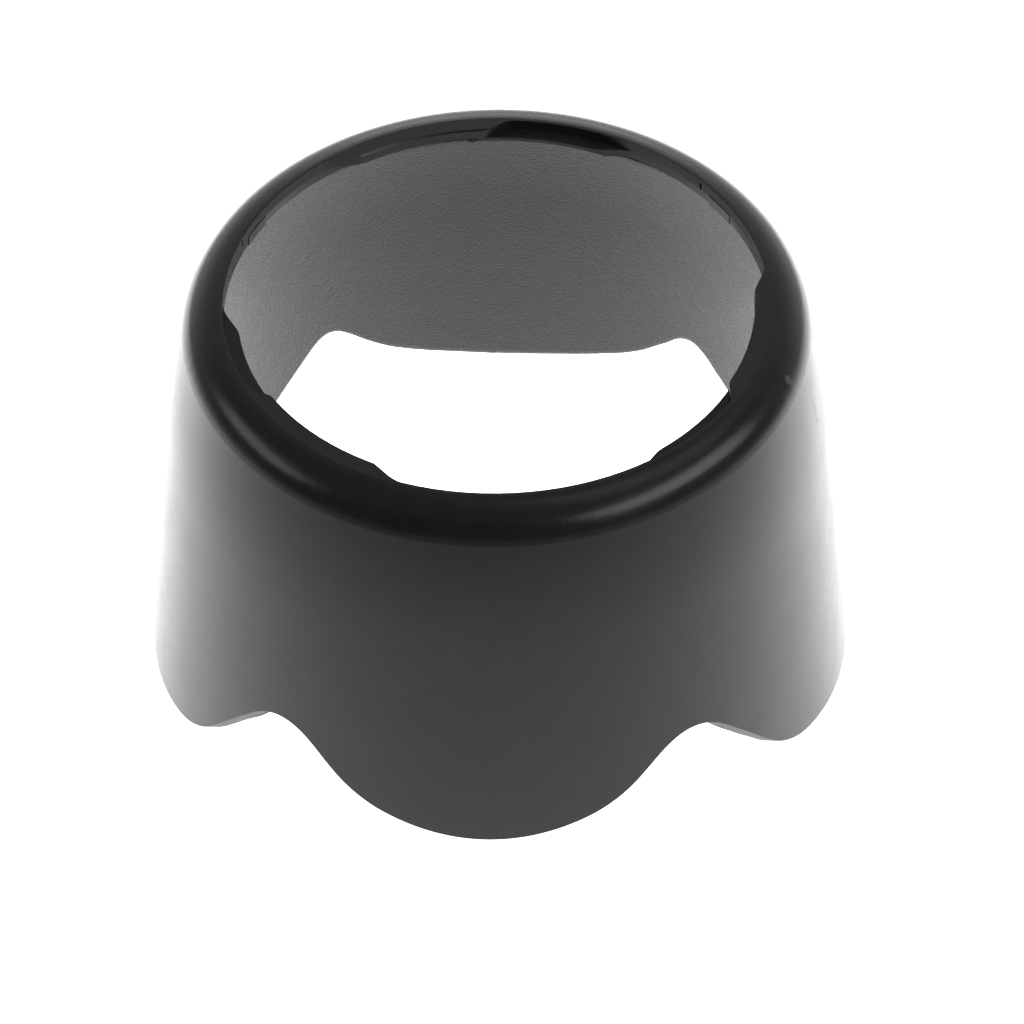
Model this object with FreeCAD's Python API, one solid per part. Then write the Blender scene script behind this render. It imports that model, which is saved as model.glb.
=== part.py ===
"""Petal lens hood for a zoom lens with a barrel about 83 mm across.

Frame: millimetres, +Z up through the mount end.  The hood stands on the tips of its two
long petals at z = 0.  X runs through the long petals and Y through the short ones.
Angles are measured about +Z from +X.  Depths are measured down from the rim.
"""
import FreeCAD
import Part
import math
import os

V = FreeCAD.Vector
UP = V(0, 0, 1)
ORIGIN = V(0, 0, 0)

# Overall shape
HEIGHT = 71.3            # rim to the tips of the long petals
WALL = 1.9               # moulded wall
EDGE_ROUND = 0.15        # rounding of both corners of the petal edge
LAND_RADIUS = 41.7       # inside of the rim, which slides over the barrel's tabs
SHOULDER_RADIUS = 6.1    # quarter round from the rim to the wall
SHOULDER_AXIS = 42.2     # distance of that round's centre from the hood's axis
BULGE_RADIUS = 160.6     # slight swell of the wall under the shoulder
BULGE_START = 12.65      # slope of the wall, in degrees, where the swell begins
TAPER = 5.9              # slope of the wall from the end of the swell to the petals

# Petals.  A short petal is shaped in front view and cut straight through along Y, a long
# one is shaped in side view and cut along X.  Each is an arc, two corners and two flanks:
# depth at the middle, arc radius, corner radius, where the corner starts, flank slope
SHORT_PETAL = (61.9, 43.1, 21.3, 15.9, 47.6)
LONG_PETAL = (HEIGHT, 88.3, 16.0, 24.7, 58.4)
NOTCH_BLEND = 11.4       # how far the flanks run into each other in the notches
NOTCH_TURN = (27.0, 45.0)  # angles between which the cut swings from along Y to along X
STATION_STEP = 3         # degrees between the points that the petal edge is drawn through
CUT_REACH = (5.0, 3.0)   # how far the cut runs inwards and outwards from the wall's face
SHORT_PETAL_ANGLE = -90  # one short petal faces -Y

# Bayonet: three equal sectors, angles measured from the middle of each lip
SECTORS = 3
FIRST_LIP = -10
TOOTH_RADIUS = 39.4      # inner edge of the lips and of the stop lugs
LIP_ANGLES = (-21.5, -14.5, 13.5, 23.0)     # foot, crest, crest, foot
LUG_ANGLES = (-49.0, -39.0, -14.5, -7.5)
RAMP_STEPS = 6           # points that each ramp of a tooth is drawn through
LIP_THICKNESS = 1.7
TOOTH_CHAMFER = 0.25
LUG_FACE = 0.6           # upright part of a lug's inner edge
RING_DEPTH = 3.05        # depth of the lugs' and the ring's lower face
RING_OUTER = 44.2
RING_GAP = 0.05          # glue line round the bonded ring
LOCATING_RIB = 1.0       # thickness of the rib round the ring
SLOT_ANGLE = 52.4        # short upright slot in the rim, over the end of each bump
SLOT_WIDTH = 0.4
SLOT_TOP = 0.45          # depth at which a slot starts
SLOT_SINK = 0.6          # how far it reaches into the rim
BUMP_ANGLES = (42.0, 49.5)
BUMP_HEIGHT = 0.08       # how far a bump stands in from the ring
BUMP_DROP = 0.3          # how far it hangs below the ring

# Lining
FLOCK = 0.35             # film and pile together
FLOCK_TOP = 7.5          # depth of the lining's upper edge
FLOCK_MARGIN = 0.4       # bare strip left along the petal edge
SEAM = 0.4               # gap where the film's ends meet, in the middle of a short petal

# Marks
PAINT_DEPTH = 0.15
LINE_ANGLE = -10.0
LINE_WIDTH = 0.9
LINE_DEPTHS = (9.5, 16.5)
DOT_ANGLE = -17.6
DOT_DEPTH = 2.0
DOT_RADIUS = 0.7


def polar(radius, angle, z):
    """Point at a distance from the hood's axis, an angle from +X and a height."""
    turn = math.radians(angle)
    return V(radius * math.cos(turn), radius * math.sin(turn), z)


def shoulder_point(offset, slope):
    """Point of the shoulder's round, pulled in from the outside by offset."""
    turn = math.radians(slope)
    reach = SHOULDER_RADIUS - offset
    return V(SHOULDER_AXIS + reach * math.cos(turn), 0,
             HEIGHT - SHOULDER_RADIUS + reach * math.sin(turn))


def bulge_point(offset, slope):
    """Point of the swell, which leaves the shoulder's round in line with it."""
    start = shoulder_point(0, BULGE_START)
    first = math.radians(BULGE_START)
    turn = math.radians(slope)
    reach = BULGE_RADIUS - offset
    return V(start.x - BULGE_RADIUS * math.cos(first) + reach * math.cos(turn), 0,
             start.z - BULGE_RADIUS * math.sin(first) + reach * math.sin(turn))


def wall_point(offset, depth):
    """Point of the straight taper at a depth below the rim."""
    start = bulge_point(offset, TAPER)
    drop = start.z - (HEIGHT - depth)
    return V(start.x + drop * math.tan(math.radians(TAPER)), 0, HEIGHT - depth)


def wall_edges(offset, depth):
    """Shoulder, swell and taper as joined edges, from the rim down to a depth."""
    crest = V(SHOULDER_AXIS, 0, HEIGHT - offset)
    round_end = shoulder_point(offset, BULGE_START)
    bulge_end = bulge_point(offset, TAPER)
    middle_slope = (BULGE_START + TAPER) / 2
    return [Part.Arc(crest, shoulder_point(offset, 50), round_end).toShape(),
            Part.Arc(round_end, bulge_point(offset, middle_slope), bulge_end).toShape(),
            Part.makeLine(bulge_end, wall_point(offset, depth))]


def revolve(edges):
    face = Part.Face(Part.Wire(Part.__sortEdges__(edges)))
    return face.revolve(ORIGIN, UP, 360)


def box_ring(inner, outer, top, bottom):
    """Plain ring with a rectangular section, between two depths."""
    height = bottom - top
    base = V(0, 0, HEIGHT - bottom)
    return Part.makeCylinder(outer, height, base).cut(Part.makeCylinder(inner, height, base))


def layer(outer_offset, inner_offset, rim_radius):
    """Layer of the wall between two offsets from the outside, longer than the petals."""
    depth = HEIGHT + 3
    outer = wall_edges(outer_offset, depth)
    inner = wall_edges(inner_offset, depth)
    rim_top = V(rim_radius, 0, HEIGHT - outer_offset)
    rim_bottom = V(rim_radius, 0, HEIGHT - inner_offset)
    ends = [Part.makeLine(rim_top, V(SHOULDER_AXIS, 0, rim_top.z)),
            Part.makeLine(rim_bottom, V(SHOULDER_AXIS, 0, rim_bottom.z)),
            Part.makeLine(rim_top, rim_bottom),
            Part.makeLine(wall_point(outer_offset, depth), wall_point(inner_offset, depth))]
    return revolve(outer + inner + ends)


def petal_profile(across, petal):
    """Depth of one petal's edge at a distance from its middle, seen square on."""
    middle_depth, arc, corner, corner_start, flank = petal
    first = math.asin(corner_start / arc)
    last = math.radians(flank)
    if across < corner_start:
        return middle_depth - arc + math.sqrt(arc ** 2 - across ** 2)
    corner_depth = middle_depth - arc + arc * math.cos(first)
    corner_end = corner_start + corner * (math.sin(last) - math.sin(first))
    if across < corner_end:
        turn = math.asin(math.sin(first) + (across - corner_start) / corner)
        return corner_depth - corner * (math.cos(first) - math.cos(turn))
    flank_depth = corner_depth - corner * (math.cos(first) - math.cos(last))
    return flank_depth - (across - corner_end) * math.tan(last)


def petal_depth(angle):
    """Depth of the petal edge on the outside, at an angle from a short petal's middle."""
    turn = math.radians(angle)
    depth = SHORT_PETAL[0]
    for attempt in range(6):
        radius = wall_point(0, depth).x
        short = petal_profile(abs(radius * math.sin(turn)), SHORT_PETAL)
        long = petal_profile(abs(radius * math.cos(turn)), LONG_PETAL)
        overlap = max(NOTCH_BLEND - abs(short - long), 0)
        depth = max(short, long) + overlap ** 2 / (4 * NOTCH_BLEND)
    return depth


def cut_heading(angle):
    """Direction in which the edge is cut at an angle from a short petal's middle."""
    quarter = math.floor(angle / 90)
    within = angle - 90 * quarter
    if quarter % 2:
        within = 90 - within
    share = (within - NOTCH_TURN[0]) / (NOTCH_TURN[1] - NOTCH_TURN[0])
    share = min(max(share, 0), 1)
    swing = 90 * share ** 2 * (3 - 2 * share)
    if quarter % 2:
        swing = 90 - swing
    return SHORT_PETAL_ANGLE + 90 * quarter + swing


def station_angles():
    return range(0, 360, STATION_STEP)


def closed_curve(points):
    curve = Part.BSplineCurve()
    turns = [float(angle) for angle in range(0, 361, STATION_STEP)]
    curve.interpolate(Points=points, PeriodicFlag=True, Parameters=turns)
    return curve.toShape()


def petal_curve(shift, raise_by):
    """Petal edge, shifted along the direction of the cut."""
    points = []
    for angle in station_angles():
        depth = petal_depth(angle)
        start = polar(wall_point(0, depth).x, SHORT_PETAL_ANGLE + angle, HEIGHT - depth + raise_by)
        points.append(start + polar(shift, cut_heading(angle), 0))
    return closed_curve(points)


def level_ring(radius, z):
    """Level ring with the same stations as the petal edge."""
    return closed_curve([polar(radius, SHORT_PETAL_ANGLE + angle, z)
                         for angle in station_angles()])


def above_petals(raise_by=0.0):
    """Solid that fills the space above the petal edge, from inside the wall to outside it."""
    low_inner = petal_curve(-CUT_REACH[0], raise_by)
    low_outer = petal_curve(CUT_REACH[1], raise_by)
    high_inner = level_ring(30, HEIGHT + 5)
    high_outer = level_ring(70, HEIGHT + 5)
    sides = ((low_inner, low_outer), (low_outer, high_outer),
             (high_outer, high_inner), (high_inner, low_inner))
    skin = Part.makeShell([Part.makeRuledSurface(first, second) for first, second in sides])
    skin.sewShape()
    body = Part.makeSolid(skin)
    if body.Volume < 0:
        body.reverse()
    return body


def tooth_ramp(foot_angle, crest_angle, z):
    """Smooth run from the land to the inner edge of a tooth."""
    points = []
    for step in range(RAMP_STEPS + 1):
        share = step / RAMP_STEPS
        radius = LAND_RADIUS - (LAND_RADIUS - TOOTH_RADIUS) * share ** 2 * (3 - 2 * share)
        points.append(polar(radius, foot_angle + (crest_angle - foot_angle) * share, z))
    curve = Part.BSplineCurve()
    curve.interpolate(points)
    return curve.toShape()


def tooth(angles, middle, top, bottom, foot):
    """Inward tooth of the bayonet: a smooth ramp, an arc on the inside, a second ramp."""
    z = HEIGHT - bottom
    first, second, third, fourth = [middle + angle for angle in angles]
    crest = Part.Arc(polar(TOOTH_RADIUS, second, z),
                     polar(TOOTH_RADIUS, (second + third) / 2, z),
                     polar(TOOTH_RADIUS, third, z)).toShape()
    back = Part.Arc(polar(foot, fourth, z), polar(foot, (first + fourth) / 2, z),
                    polar(foot, first, z)).toShape()
    outline = [Part.makeLine(polar(foot, first, z), polar(LAND_RADIUS, first, z)),
               tooth_ramp(first, second, z), crest, tooth_ramp(fourth, third, z),
               Part.makeLine(polar(LAND_RADIUS, fourth, z), polar(foot, fourth, z)), back]
    return Part.Face(Part.Wire(outline)).extrude(V(0, 0, bottom - top))


def chamfer_cone(radius, depth, size, upward):
    """Solid that cuts a 45 degree chamfer on the inner edge of the teeth."""
    reach = radius + size
    if upward:
        return Part.makeCone(radius, reach, size, V(0, 0, HEIGHT - depth - size))
    return Part.makeCone(reach, radius, size, V(0, 0, HEIGHT - depth))


def arc_block(inner, outer, angles, top, bottom):
    """Piece of a ring between two angles."""
    ring = box_ring(inner, outer, top, bottom)
    far = 2 * outer
    corners = [polar(0, 0, HEIGHT - bottom - 1), polar(far, angles[0], HEIGHT - bottom - 1),
               polar(far, angles[1], HEIGHT - bottom - 1)]
    wedge = Part.Face(Part.makePolygon(corners + corners[:1]))
    return ring.common(wedge.extrude(V(0, 0, bottom - top + 2)))


def sector_middles():
    return [FIRST_LIP + 360 / SECTORS * number for number in range(SECTORS)]


def slot(middle):
    """Short upright slot in the land, open at the joint with the ring."""
    half_angle = math.degrees(SLOT_WIDTH / LAND_RADIUS) / 2
    angles = (middle + SLOT_ANGLE - half_angle, middle + SLOT_ANGLE + half_angle)
    return arc_block(LAND_RADIUS - 1, LAND_RADIUS + SLOT_SINK, angles, SLOT_TOP, WALL)


def line_tool():
    """Upright block that marks out the printed line."""
    length = LINE_DEPTHS[1] - LINE_DEPTHS[0]
    block = Part.makeBox(40, LINE_WIDTH, length,
                         V(35, -LINE_WIDTH / 2, HEIGHT - LINE_DEPTHS[1]))
    block.rotate(ORIGIN, UP, LINE_ANGLE)
    return block


def dot_tool():
    """Round bar that meets the shoulder square on."""
    rise = math.asin((SHOULDER_RADIUS - DOT_DEPTH) / SHOULDER_RADIUS)
    outward = V(math.cos(rise), 0, math.sin(rise))
    start = V(SHOULDER_AXIS, 0, HEIGHT - SHOULDER_RADIUS)
    bar = Part.makeCylinder(DOT_RADIUS, SHOULDER_RADIUS + 3, start, outward)
    bar.rotate(ORIGIN, UP, DOT_ANGLE)
    return bar


def rounded_petals(shell):
    """Rounds the outer and the inner corner of the petal edge."""
    notch_height = HEIGHT - min(petal_depth(angle) for angle in station_angles())
    corners = [edge for edge in shell.Edges if edge.BoundBox.ZMax < notch_height + 1]
    corners = [edge for edge in corners if edge.Length > 2 * WALL]
    return shell.makeFillet(EDGE_ROUND, corners)


def hood_shell(marks):
    """Moulded shell with its shoulder, rim, lips, slots, locating rib and petal edge."""
    shell = layer(0, WALL, LAND_RADIUS)
    rib_inner = RING_OUTER + RING_GAP
    shell = shell.fuse(box_ring(rib_inner, rib_inner + LOCATING_RIB, WALL - 0.5, RING_DEPTH))
    shell = shell.cut(box_ring(LAND_RADIUS - 1, rib_inner, LIP_THICKNESS, WALL + 0.2))
    for middle in sector_middles():
        lip = tooth(LIP_ANGLES, middle, 0, LIP_THICKNESS, SHOULDER_AXIS)
        lip = lip.cut(chamfer_cone(TOOTH_RADIUS, 0, TOOTH_CHAMFER, True))
        shell = shell.fuse(lip)
        shell = shell.cut(slot(middle))
    shell = rounded_petals(shell.common(above_petals()))
    for mark in marks:
        shell = shell.cut(mark)
    return shell.removeSplitter()


def bayonet_ring():
    """Bonded ring with the stop lugs and the detent bumps."""
    ring = box_ring(LAND_RADIUS, RING_OUTER, LIP_THICKNESS, RING_DEPTH)
    undercut_depth = RING_DEPTH - LIP_THICKNESS - LUG_FACE
    for middle in sector_middles():
        lug = tooth(LUG_ANGLES, middle, LIP_THICKNESS, RING_DEPTH, RING_OUTER - 0.5)
        lug = lug.cut(chamfer_cone(TOOTH_RADIUS, RING_DEPTH, undercut_depth, False))
        bump_angles = (middle + BUMP_ANGLES[0], middle + BUMP_ANGLES[1])
        bump = arc_block(LAND_RADIUS - BUMP_HEIGHT, LAND_RADIUS + 1, bump_angles,
                         LIP_THICKNESS, RING_DEPTH + BUMP_DROP)
        ring = ring.fuse([lug, bump])
    return ring.removeSplitter()


def flock_lining():
    """One wrap of flocked film on the inside wall, with its butt seam."""
    film = layer(WALL, WALL + FLOCK, LAND_RADIUS)
    film = film.cut(Part.makeCylinder(70, FLOCK_TOP, V(0, 0, HEIGHT - FLOCK_TOP)))
    film = film.common(above_petals(FLOCK_MARGIN))
    seam = Part.makeBox(SEAM, 80, HEIGHT, V(-SEAM / 2, -80, 0))
    return film.cut(seam)


def main():
    os.makedirs("parts", exist_ok=True)
    paint = layer(0, PAINT_DEPTH, LAND_RADIUS)
    index_line = paint.common(line_tool())
    index_dot = paint.common(dot_tool())
    nodes = {"hood_shell": hood_shell((index_line, index_dot)),
             "bayonet_ring": bayonet_ring(),
             "flock_lining": flock_lining(),
             "index_line": index_line,
             "index_dot": index_dot}
    for name, shape in nodes.items():
        shape.exportStep("parts/" + name + ".step")
        box = shape.BoundBox
        print(name, "solids", len(shape.Solids), "valid", shape.isValid(),
              "volume", round(shape.Volume, 1), "z", round(box.ZMin, 2), round(box.ZMax, 2),
              "x", round(box.XMin, 2), round(box.XMax, 2))


main()
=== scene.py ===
import math

import bpy
import numpy as np
from mathutils import Matrix, Vector
from mathutils.bvhtree import BVHTree


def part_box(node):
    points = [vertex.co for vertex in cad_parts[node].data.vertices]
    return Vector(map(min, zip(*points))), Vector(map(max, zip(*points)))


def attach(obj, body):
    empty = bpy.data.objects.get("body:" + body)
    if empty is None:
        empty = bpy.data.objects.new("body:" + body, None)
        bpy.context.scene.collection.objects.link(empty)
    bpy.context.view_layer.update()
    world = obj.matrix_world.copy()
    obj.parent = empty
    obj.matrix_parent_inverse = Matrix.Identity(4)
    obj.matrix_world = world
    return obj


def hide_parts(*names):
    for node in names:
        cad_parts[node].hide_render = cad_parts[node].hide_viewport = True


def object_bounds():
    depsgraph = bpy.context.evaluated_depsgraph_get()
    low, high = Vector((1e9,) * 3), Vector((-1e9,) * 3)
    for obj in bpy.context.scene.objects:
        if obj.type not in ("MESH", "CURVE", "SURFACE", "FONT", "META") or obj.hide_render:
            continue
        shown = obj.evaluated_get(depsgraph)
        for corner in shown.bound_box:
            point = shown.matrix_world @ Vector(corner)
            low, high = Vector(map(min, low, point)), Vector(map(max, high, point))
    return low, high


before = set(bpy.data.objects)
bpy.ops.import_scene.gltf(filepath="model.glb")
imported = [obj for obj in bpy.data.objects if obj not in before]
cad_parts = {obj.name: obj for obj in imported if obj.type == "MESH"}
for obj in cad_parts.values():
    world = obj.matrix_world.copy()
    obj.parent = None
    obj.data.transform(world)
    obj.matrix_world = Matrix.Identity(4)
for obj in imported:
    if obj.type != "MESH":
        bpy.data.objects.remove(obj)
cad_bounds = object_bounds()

MM = 0.001

# The hood's wall, as in the CAD model
HEIGHT = cad_bounds[1][2]
WALL = 1.9 * MM
SHOULDER_RADIUS = 6.1 * MM
SHOULDER_AXIS = 42.2 * MM
BULGE_RADIUS = 160.6 * MM
BULGE_START = math.radians(12.65)
TAPER = math.radians(5.9)

# Lining
FLOCK = 0.35 * MM
LINING_COLUMNS = 900
LINING_ROWS = 130
PILE_SEED = 11
SEAM = 0.4 * MM
SEAM_CLEARANCE = 0.0005       # angle, in radians, left free on both sides of the seam
SEAM_RADIUS = 50 * MM         # radius of the wall where the seam has its full width
GLUE_LINE = 0.01 * MM         # between the film and the wall
EDGE_INSET = 0.2 * MM         # how far above the CAD lining's lower edge the film ends
EDGE_WANDER = 0.05 * MM       # unevenness of that edge
FINE_PILE = 0.003 * MM
COARSE_PILE = 0.008 * MM
EDGE_TUCK = 0.25              # share of the film's thickness lost at its cut edges
TUCK_STEPS = 2                # rows or columns over which it is lost
SEARCH_STEPS = 18             # halvings in the search for the lower edge

# Extra roughness of the shell's unpolished faces.  It fades over each pair of values: the
# upward part of the normal on the cut faces and on the land, and the distance from the axis.
CUT_FACE_DULL = 0.17
CUT_FACE_LEAN = (-0.35, -0.15)
LAND_DULL = 0.35
LAND_UPRIGHT = (0.3, 0.5)
LAND_REACH = (41.75 * MM, 41.9 * MM)

# The two sides of the shell's seam lie closer together than this
SEAM_TOLERANCE = 0.002 * MM

# Camera
CAMERA_AZIMUTH = math.radians(2.87)
CAMERA_REACH = 0.5537
CAMERA_HEIGHT = 0.5848
CAMERA_LENS = 174.1
CAMERA_ROLL = math.radians(-0.55)
SENSOR_WIDTH = 36.0
CLIP_START = 0.01
AIM_HEIGHT = 0.0252
AIM_RIGHT = 0.0021

# Light
FLOOR_SIZE = 3.0
FLOOR_ALBEDO = 0.5
FLOOR_ROUGHNESS = 0.9
# Glow of the light table: pairs of a distance from its brightest spot and the glow there
FLOOR_GLOW = ((0.12, 3.4), (0.25, 2.5), (0.335, 1.05), (0.43, 0.75), (0.52, 0.05))
GLOW_CENTRE = (0.0, 0.25, 0.0)
# Studio: dim all round, a little lighter overhead, with a pale backdrop behind the table.
# Each fade runs between two values of one component of the view direction.
WORLD_LOW = 0.12
WORLD_TOP = 0.26
TOP_FADE = (0.6, 1.0)
WORLD_BACK = 1.5
BACK_FADE = (0.2, 1.1)
BACK_HEIGHT_FADE = (0.1, 0.85)
# Softboxes: compass angle about +Z from +X, elevation, width, height, radiance
SOFTBOXES = {"softbox_right": (-24, 34, 0.60, 0.26, 3.5),
             "softbox_left": (184, 28, 0.36, 0.20, 2.5),
             "softbox_top": (35, 68, 0.30, 0.30, 0.7),
             "softbox_back": (92, 21, 0.24, 0.12, 3.2)}
BOX_DISTANCE = 0.6


def link(obj):
    bpy.context.scene.collection.objects.link(obj)
    return obj


def mesh_object(name, vertices, faces):
    mesh = bpy.data.meshes.new(name)
    mesh.from_pydata(vertices, [], faces)
    mesh.update()
    for polygon in mesh.polygons:
        polygon.use_smooth = True
    return link(bpy.data.objects.new(name, mesh))


# ---------------------------------------------------------------- camera and light

def make_camera():
    data = bpy.data.cameras.new("camera")
    data.lens = CAMERA_LENS
    data.sensor_width = SENSOR_WIDTH
    data.clip_start = CLIP_START
    camera = link(bpy.data.objects.new("camera", data))
    right = Vector((math.cos(CAMERA_AZIMUTH), math.sin(CAMERA_AZIMUTH), 0))
    away = Vector((math.sin(CAMERA_AZIMUTH), -math.cos(CAMERA_AZIMUTH), 0))
    place = away * CAMERA_REACH + Vector((0, 0, CAMERA_HEIGHT))
    aim = right * AIM_RIGHT + Vector((0, 0, AIM_HEIGHT))
    look = (aim - place).to_track_quat("-Z", "Y").to_matrix().to_4x4()
    camera.matrix_world = Matrix.Translation(place) @ look @ Matrix.Rotation(CAMERA_ROLL, 4, "Z")
    bpy.context.scene.camera = camera


def make_world():
    """Dim studio that is a little lighter overhead and has a pale backdrop."""
    world = bpy.data.worlds.new("studio")
    bpy.context.scene.world = world
    world.use_nodes = True
    nodes = world.node_tree.nodes
    links = world.node_tree.links
    background = nodes["Background"]
    background.inputs["Color"].default_value = (1, 1, 1, 1)
    coordinates = nodes.new("ShaderNodeTexCoord")
    axes = nodes.new("ShaderNodeSeparateXYZ")
    links.new(coordinates.outputs["Generated"], axes.inputs[0])

    def grade(axis, fade, low, high):
        """Value that goes from low to high along an axis of the view direction."""
        node = nodes.new("ShaderNodeMapRange")
        if axis == "Y":
            node.interpolation_type = "SMOOTHSTEP"
        for socket, value in (("From Min", fade[0]), ("From Max", fade[1]),
                              ("To Min", low), ("To Max", high)):
            node.inputs[socket].default_value = value
        links.new(axes.outputs[axis], node.inputs["Value"])
        return node.outputs[0]

    def combine(operation, first, second):
        node = nodes.new("ShaderNodeMath")
        node.operation = operation
        links.new(first, node.inputs[0])
        links.new(second, node.inputs[1])
        return node.outputs[0]

    overhead = grade("Z", TOP_FADE, WORLD_LOW, WORLD_TOP)
    backdrop = combine("MULTIPLY", grade("Y", BACK_FADE, 0.0, WORLD_BACK),
                       grade("Z", BACK_HEIGHT_FADE, 1.0, 0.0))
    links.new(combine("ADD", overhead, backdrop), background.inputs["Strength"])


def make_softbox(name, compass, elevation, width, height, radiance):
    """Area light that faces the hood's rim from a direction."""
    data = bpy.data.lights.new(name, "AREA")
    data.shape = "RECTANGLE"
    data.size = width
    data.size_y = height
    data.energy = radiance * math.pi * width * height
    turn = math.radians(compass)
    rise = math.radians(elevation)
    toward = Vector((math.cos(turn) * math.cos(rise), math.sin(turn) * math.cos(rise),
                     math.sin(rise)))
    box = link(bpy.data.objects.new(name, data))
    box.location = toward * BOX_DISTANCE + Vector((0, 0, HEIGHT))
    box.rotation_euler = (-toward).to_track_quat("-Z", "Y").to_euler()


def make_floor():
    """Pale table top that glows like a light table, fading towards the front."""
    half = FLOOR_SIZE / 2
    floor = mesh_object("floor", [(-half, -half, 0), (half, -half, 0), (half, half, 0),
                                  (-half, half, 0)], [(0, 1, 2, 3)])
    material = bpy.data.materials.new("floor_white")
    material.use_nodes = True
    nodes = material.node_tree.nodes
    links = material.node_tree.links
    surface = nodes["Principled BSDF"]
    surface.inputs["Base Color"].default_value = (FLOOR_ALBEDO, FLOOR_ALBEDO, FLOOR_ALBEDO, 1)
    surface.inputs["Roughness"].default_value = FLOOR_ROUGHNESS
    surface.inputs["Specular IOR Level"].default_value = 0.0
    surface.inputs["Emission Color"].default_value = (1, 1, 1, 1)
    coordinates = nodes.new("ShaderNodeTexCoord")
    reach = nodes.new("ShaderNodeVectorMath")
    reach.operation = "DISTANCE"
    reach.inputs[1].default_value = GLOW_CENTRE
    links.new(coordinates.outputs["Object"], reach.inputs[0])
    start, end = FLOOR_GLOW[0][0], FLOOR_GLOW[-1][0]
    along = nodes.new("ShaderNodeMapRange")
    along.inputs["From Min"].default_value = start
    along.inputs["From Max"].default_value = end
    links.new(reach.outputs["Value"], along.inputs["Value"])
    ramp = nodes.new("ShaderNodeValToRGB")
    ramp.color_ramp.interpolation = "B_SPLINE"
    stops = ramp.color_ramp.elements
    while len(stops) < len(FLOOR_GLOW):
        stops.new(0.5)
    brightest = FLOOR_GLOW[0][1]
    for stop, (place, glow) in zip(stops, FLOOR_GLOW):
        stop.position = (place - start) / (end - start)
        level = glow / brightest
        stop.color = (level, level, level, 1)
    links.new(along.outputs[0], ramp.inputs["Fac"])
    links.new(ramp.outputs["Color"], surface.inputs["Emission Color"])
    surface.inputs["Emission Strength"].default_value = brightest
    floor.data.materials.append(material)


# ---------------------------------------------------------------- materials

class Maker:
    """A material with a Principled shader, and short ways to add nodes to it."""

    def __init__(self, name, roughness):
        self.material = bpy.data.materials.new(name)
        self.material.use_nodes = True
        self.nodes = self.material.node_tree.nodes
        self.links = self.material.node_tree.links
        self.surface = self.nodes["Principled BSDF"]
        self.set("Roughness", roughness)
        self.texture_coordinates = self.nodes.new("ShaderNodeTexCoord")
        self.coordinates = self.texture_coordinates.outputs["Object"]

    def set(self, socket, value):
        """Gives the shader one uniform value."""
        self.surface.inputs[socket].default_value = value

    def noise(self, size, detail):
        """Noise whose features are about that size, in metres."""
        texture = self.nodes.new("ShaderNodeTexNoise")
        texture.inputs["Scale"].default_value = 1 / size
        texture.inputs["Detail"].default_value = detail
        self.links.new(self.coordinates, texture.inputs["Vector"])
        return texture.outputs["Fac"]

    def spread(self, value, low, high, source_low=0.3, source_high=0.7):
        """Stretches a range of values, clamped at both ends."""
        node = self.nodes.new("ShaderNodeMapRange")
        node.inputs["From Min"].default_value = source_low
        node.inputs["From Max"].default_value = source_high
        node.inputs["To Min"].default_value = low
        node.inputs["To Max"].default_value = high
        self.links.new(value, node.inputs["Value"])
        return node.outputs[0]

    def math(self, operation, first, second):
        """One calculation with two inputs, each a number or another node's output."""
        node = self.nodes.new("ShaderNodeMath")
        node.operation = operation
        for socket, value in zip(node.inputs, (first, second)):
            if isinstance(value, (int, float)):
                socket.default_value = value
            else:
                self.links.new(value, socket)
        return node.outputs[0]

    def colour(self, value, dark, light, start=0.3, end=0.7):
        """Base colour that runs from dark to light with a value."""
        ramp = self.nodes.new("ShaderNodeValToRGB")
        stops = ramp.color_ramp.elements
        stops[0].position = start
        stops[0].color = (*dark, 1)
        stops[1].position = end
        stops[1].color = (*light, 1)
        self.links.new(value, ramp.inputs["Fac"])
        self.links.new(ramp.outputs["Color"], self.surface.inputs["Base Color"])

    def bump(self, height, distance, strength, below=None):
        """Bump of a depth in metres, on top of another bump if one is given."""
        node = self.nodes.new("ShaderNodeBump")
        node.inputs["Distance"].default_value = distance
        node.inputs["Strength"].default_value = strength
        self.links.new(height, node.inputs["Height"])
        if below is not None:
            self.links.new(below, node.inputs["Normal"])
        self.links.new(node.outputs[0], self.surface.inputs["Normal"])
        return node.outputs[0]

    def axes(self, vector):
        """X, Y and Z of a vector as outputs."""
        node = self.nodes.new("ShaderNodeSeparateXYZ")
        self.links.new(vector, node.inputs[0])
        return node.outputs

    def feed(self, value, socket):
        """Links a node's output to the shader."""
        self.links.new(value, self.surface.inputs[socket])


class ShellMaker(Maker):
    """A Maker that knows which faces of the shell the mould left unpolished."""

    def unpolished(self):
        """Extra roughness on the petals' cut faces and on the land inside the rim."""
        normal = self.axes(self.texture_coordinates.outputs["Normal"])
        place = self.axes(self.coordinates)
        cut_faces = self.spread(normal["Z"], CUT_FACE_DULL, 0.0, *CUT_FACE_LEAN)
        square = self.math("ADD", self.math("MULTIPLY", place["X"], place["X"]),
                           self.math("MULTIPLY", place["Y"], place["Y"]))
        reach = self.math("SQRT", square, 0.0)
        in_mouth = self.spread(reach, LAND_DULL, 0.0, *LAND_REACH)
        upright = self.spread(normal["Z"], 1.0, 0.0, *LAND_UPRIGHT)
        return self.math("MAXIMUM", cut_faces, self.math("MULTIPLY", in_mouth, upright))


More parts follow.
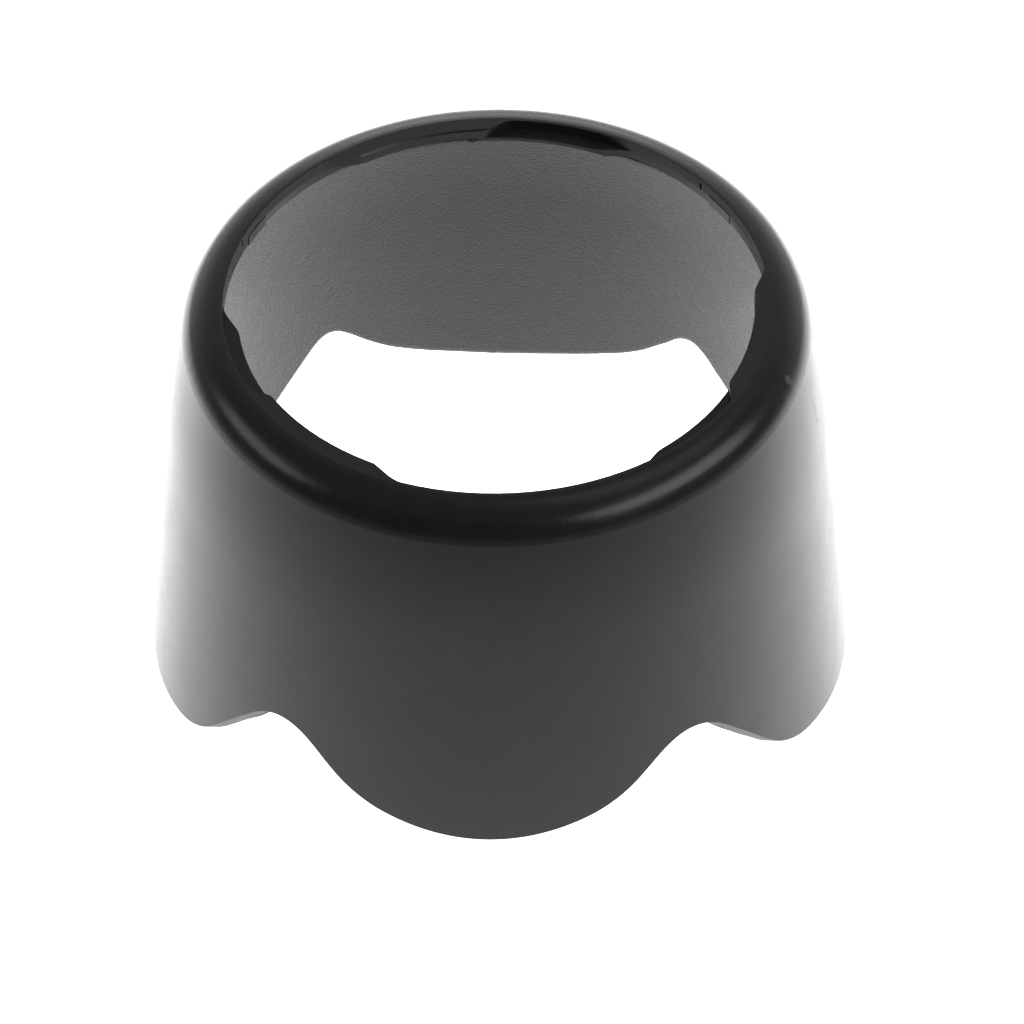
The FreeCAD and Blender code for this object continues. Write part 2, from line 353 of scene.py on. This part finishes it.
def shell_plastic():
    """Satin black moulded plastic with a very fine grain and faint handling marks."""
    make = ShellMaker("shell_plastic", 0.28)
    make.set("IOR", 1.4)
    make.colour(make.noise(4 * MM, 3), (0.0075, 0.0075, 0.008), (0.0105, 0.0105, 0.011))
    patches = make.spread(make.noise(9 * MM, 4), -0.02, 0.02)
    grain = make.noise(0.16 * MM, 2)
    polished = make.math("ADD", make.spread(grain, 0.24, 0.31), patches)
    dulled = make.unpolished()
    make.feed(make.math("ADD", polished, dulled), "Roughness")
    waves = make.bump(make.noise(14 * MM, 1), 0.02 * MM, 0.3)
    make.bump(grain, 0.004 * MM, 0.6, waves)
    return make.material


def ring_plastic():
    """The bonded ring's smoother black plastic."""
    make = Maker("ring_plastic", 0.3)
    make.set("IOR", 1.25)
    make.colour(make.noise(2 * MM, 2), (0.013, 0.013, 0.0135), (0.02, 0.02, 0.0205))
    grain = make.noise(0.2 * MM, 2)
    make.feed(make.spread(grain, 0.26, 0.36), "Roughness")
    make.bump(grain, 0.003 * MM, 0.5)
    return make.material


def flock_fabric():
    """Short dense pile: a mottled matt surface that lightens at grazing angles."""
    make = Maker("flock_fabric", 0.45)
    make.set("IOR", 1.34)
    make.set("Sheen Weight", 0.8)
    make.set("Sheen Roughness", 0.2)
    pile = make.noise(0.38 * MM, 3)
    tufts = make.noise(1.1 * MM, 2)
    clumps = make.noise(6 * MM, 3)
    mottle = make.math("ADD", make.math("MULTIPLY", pile, 0.7),
                       make.math("ADD", make.math("MULTIPLY", tufts, 0.2),
                                 make.math("MULTIPLY", clumps, 0.1)))
    make.colour(mottle, (0.0, 0.0, 0.0), (0.013, 0.013, 0.013), 0.38, 0.62)
    make.feed(make.spread(pile, 0.24, 0.42), "Roughness")
    make.bump(pile, 0.105 * MM, 1.0)
    return make.material


def mark_paint(name, dark, light):
    """Flat grey paint, slightly uneven."""
    make = Maker(name, 0.6)
    patches = make.noise(0.25 * MM, 3)
    make.colour(patches, (dark, dark, dark), (light, light, light))
    make.bump(patches, 0.01 * MM, 0.5)
    return make.material


# ---------------------------------------------------------------- lining

def wall_outside(depth):
    """Radius of the outer wall at a depth below the rim, and its slope there."""
    round_end = SHOULDER_RADIUS * (1 - math.sin(BULGE_START))
    centre_r = SHOULDER_AXIS + (SHOULDER_RADIUS - BULGE_RADIUS) * math.cos(BULGE_START)
    centre_depth = round_end + BULGE_RADIUS * math.sin(BULGE_START)
    bulge_end = centre_depth - BULGE_RADIUS * math.sin(TAPER)
    if depth < bulge_end:
        slope = math.asin((centre_depth - depth) / BULGE_RADIUS)
        return centre_r + BULGE_RADIUS * math.cos(slope), slope
    radius = centre_r + BULGE_RADIUS * math.cos(TAPER) + (depth - bulge_end) * math.tan(TAPER)
    return radius, TAPER


def wall_inside(depth, offset):
    """Radius and height of the point that far in from the outer wall."""
    radius, slope = wall_outside(depth)
    return radius - offset * math.cos(slope), HEIGHT - depth - offset * math.sin(slope)


def lower_edge(tree, angle, low, high):
    """Lowest height at which the CAD lining is met at an angle round the axis."""
    direction = Vector((math.cos(angle), math.sin(angle), 0))
    for step in range(SEARCH_STEPS):
        middle = (low + high) / 2
        if tree.ray_cast(Vector((0, 0, middle)), direction, 0.1)[0] is None:
            low = middle
        else:
            high = middle
    return high


def make_lining(fabric):
    """One wrap of flocked film with a soft, slightly uneven pile and rounded cut edges."""
    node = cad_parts["flock_lining"]
    node_low, node_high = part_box("flock_lining")
    tree = BVHTree.FromPolygons([v.co for v in node.data.vertices],
                                [p.vertices for p in node.data.polygons])
    rng = np.random.default_rng(PILE_SEED)
    seam_turn = SEAM / (2 * SEAM_RADIUS)
    start = -math.pi / 2 + seam_turn + SEAM_CLEARANCE
    end = 3 * math.pi / 2 - seam_turn - SEAM_CLEARANCE
    angles = np.linspace(start, end, LINING_COLUMNS)
    top_depth = HEIGHT - node_high.z
    edge = [lower_edge(tree, angle, node_low.z - MM, node_high.z - 5 * MM) for angle in angles]
    fine = smooth(rng.normal(0, 1, (LINING_COLUMNS, LINING_ROWS + 1)), 1)
    coarse = smooth(rng.normal(0, 1, fine.shape), 9)
    pile = fine * FINE_PILE + coarse * COARSE_PILE
    wander = smooth(rng.normal(0, 1, (LINING_COLUMNS, 1)), 5)[:, 0] * EDGE_WANDER
    vertices = []
    for column, angle in enumerate(angles):
        bottom_depth = HEIGHT - edge[column] - EDGE_INSET + wander[column]
        side_gap = min(column, LINING_COLUMNS - 1 - column)
        inner = []
        outer = []
        for row in range(LINING_ROWS + 1):
            depth = top_depth + (bottom_depth - top_depth) * row / LINING_ROWS
            gap = min(row, LINING_ROWS - row, side_gap)
            tuck = EDGE_TUCK * FLOCK * max(0, 1 - gap / TUCK_STEPS)
            offset = WALL + FLOCK - tuck + min(0.0, pile[column, row])
            inner.append(wall_inside(depth, offset))
            outer.append(wall_inside(depth, WALL + GLUE_LINE))
        for radius, z in inner + outer[::-1]:
            vertices.append((radius * math.cos(angle), radius * math.sin(angle), z))
    lining = mesh_object("flocked_film", vertices, lining_faces())
    lining.data.materials.append(fabric)
    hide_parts("flock_lining")
    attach(lining, "root")


def lining_faces():
    """Skin of the film: one ring of faces round each pair of columns, and both ends."""
    ring = 2 * (LINING_ROWS + 1)
    faces = []
    for column in range(LINING_COLUMNS - 1):
        first = column * ring
        second = first + ring
        for step in range(ring):
            after = (step + 1) % ring
            faces.append((first + step, first + after, second + after, second + step))
    last = (LINING_COLUMNS - 1) * ring
    for row in range(LINING_ROWS):
        mate = ring - 1 - row
        faces.append((row, mate, mate - 1, row + 1))
        faces.append((last + row, last + row + 1, last + mate - 1, last + mate))
    return faces


def smooth(values, radius):
    """Blurs noise over both directions and brings it back to unit spread."""
    kernel = np.hanning(2 * radius + 3)[1:-1]
    kernel /= kernel.sum()

    def blur(line):
        return np.convolve(line, kernel, "same")

    for axis in range(values.ndim):
        if values.shape[axis] > len(kernel):
            values = np.apply_along_axis(blur, axis, values)
    return values / values.std()


def dress(node, material):
    """Gives a CAD node its material."""
    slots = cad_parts[node].data.materials
    slots.clear()
    slots.append(material)


def close_seam(node):
    """Joins the vertices on both sides of the seam that a turned wall has at angle 0.

    The seam would otherwise show as a thin line in the shading.
    """
    group = bpy.data.node_groups.new("close_seam", "GeometryNodeTree")
    group.interface.new_socket("Geometry", in_out="INPUT", socket_type="NodeSocketGeometry")
    group.interface.new_socket("Geometry", in_out="OUTPUT", socket_type="NodeSocketGeometry")
    nodes = group.nodes
    links = group.links
    source = nodes.new("NodeGroupInput")
    result = nodes.new("NodeGroupOutput")
    axes = nodes.new("ShaderNodeSeparateXYZ")
    links.new(nodes.new("GeometryNodeInputPosition").outputs[0], axes.inputs[0])

    def calculate(operation, first, second):
        step = nodes.new("ShaderNodeMath")
        step.operation = operation
        for socket, value in zip(step.inputs, (first, second)):
            if isinstance(value, float):
                socket.default_value = value
            else:
                links.new(value, socket)
        return step.outputs[0]

    off_plane = calculate("ABSOLUTE", axes.outputs["Y"], 0.0)
    in_plane = calculate("LESS_THAN", off_plane, SEAM_TOLERANCE)
    above_tips = calculate("GREATER_THAN", axes.outputs["Z"], MM)
    this_side = calculate("GREATER_THAN", axes.outputs["X"], 0.0)
    chosen = calculate("MULTIPLY", calculate("MULTIPLY", in_plane, this_side), above_tips)
    merge = nodes.new("GeometryNodeMergeByDistance")
    merge.inputs["Distance"].default_value = SEAM_TOLERANCE
    links.new(source.outputs[0], merge.inputs["Geometry"])
    links.new(chosen, merge.inputs["Selection"])
    links.new(merge.outputs[0], result.inputs[0])
    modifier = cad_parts[node].modifiers.new("close_seam", "NODES")
    modifier.node_group = group


def main():
    bpy.context.scene.view_settings.view_transform = "Standard"
    make_camera()
    make_world()
    for name, settings in SOFTBOXES.items():
        make_softbox(name, *settings)
    make_floor()
    dress("hood_shell", shell_plastic())
    dress("bayonet_ring", ring_plastic())
    close_seam("hood_shell")
    dress("index_line", mark_paint("line_paint", 0.34, 0.50))
    dress("index_dot", mark_paint("worn_dot_paint", 0.02, 0.05))
    make_lining(flock_fabric())


main()
